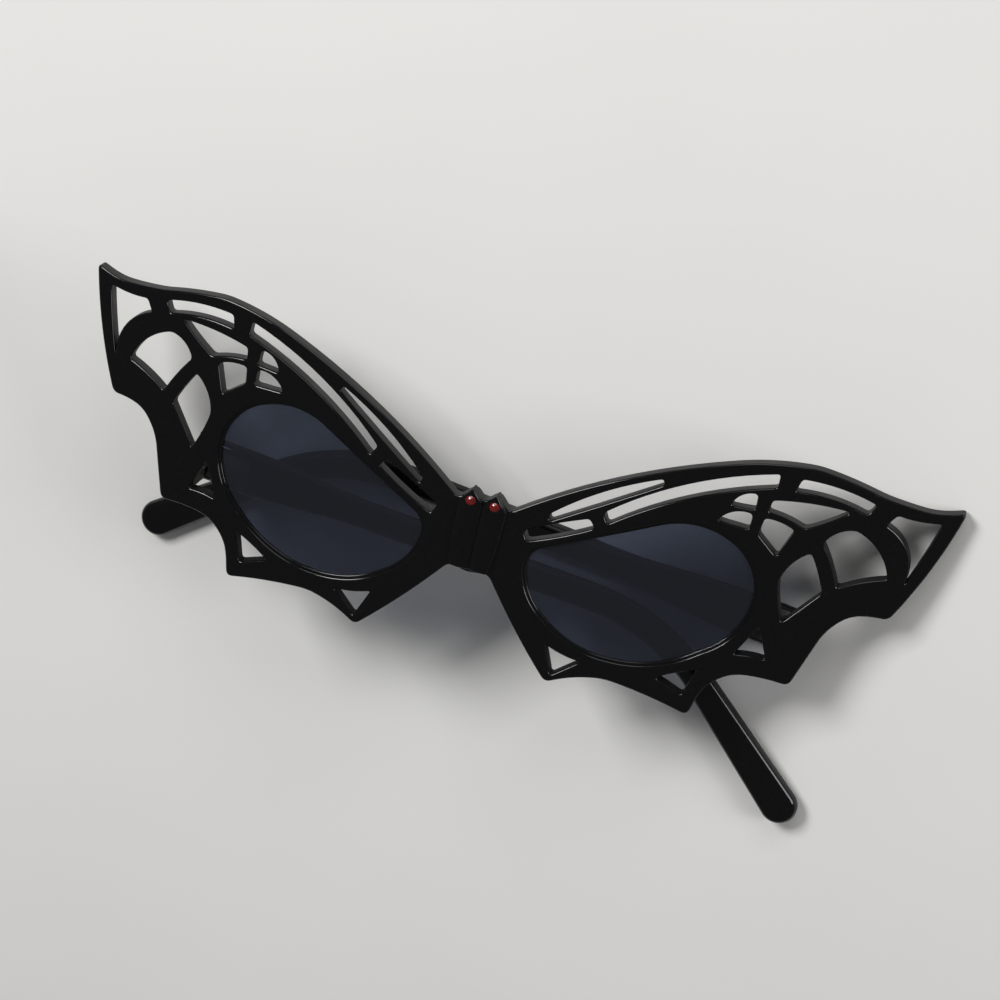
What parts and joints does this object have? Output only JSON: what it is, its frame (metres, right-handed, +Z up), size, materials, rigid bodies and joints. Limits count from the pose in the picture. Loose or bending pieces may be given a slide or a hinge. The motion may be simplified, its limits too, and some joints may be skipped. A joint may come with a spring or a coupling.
{
  "type": "novelty sunglasses",
  "caption": "Folding party sunglasses with a pierced bat-wing front, tinted lenses, red eye stones and hinged temples.",
  "frame": {"origin": "on the table, under the middle of the outer temple, half way along the glasses", "axes": "+X to the viewer's right along the glasses, +Y towards the top of the wings, +Z up off the table; the front's face looks up"},
  "size_m": [0.1796, 0.0782, 0.029],
  "materials": {
    "frame_plastic": "glossy black injection moulding",
    "lens": "smoke tint, polished",
    "stone": "faceted dark red",
    "hinge_metal": "nickel-plated steel"
  },
  "bodies": {
    "front": {"front_frame": "frame_plastic", "lens_left": "lens", "lens_right": "lens", "eye_stone_left": "stone", "eye_stone_right": "stone", "front_hinge_left": "hinge_metal", "front_hinge_right": "hinge_metal", "hinge_screw_left": "hinge_metal", "hinge_screw_right": "hinge_metal"},
    "inner_temple": {"temple_left": "frame_plastic", "temple_hinge_left": "hinge_metal"},
    "outer_temple": {"temple_right": "frame_plastic", "temple_hinge_right": "hinge_metal"}
  },
  "joints": [
    {"name": "outer_temple_swing", "type": "hinge", "parent": "outer_temple", "child": "front", "pos_m": [0.05985, -0.00322, 0.00511], "axis": [0.0541, 0.9985, 0], "range_deg": [0, 87]},
    {"name": "inner_temple_swing", "type": "hinge", "parent": "front", "child": "inner_temple", "pos_m": [-0.06308, -0.00326, 0.01801], "axis": [0.0541, 0.9985, 0], "range_deg": [0, 88.9]}
  ],
  "couplings": [
    {"joint": "inner_temple_swing", "follows": "outer_temple_swing", "ratio": 1.02}
  ]
}
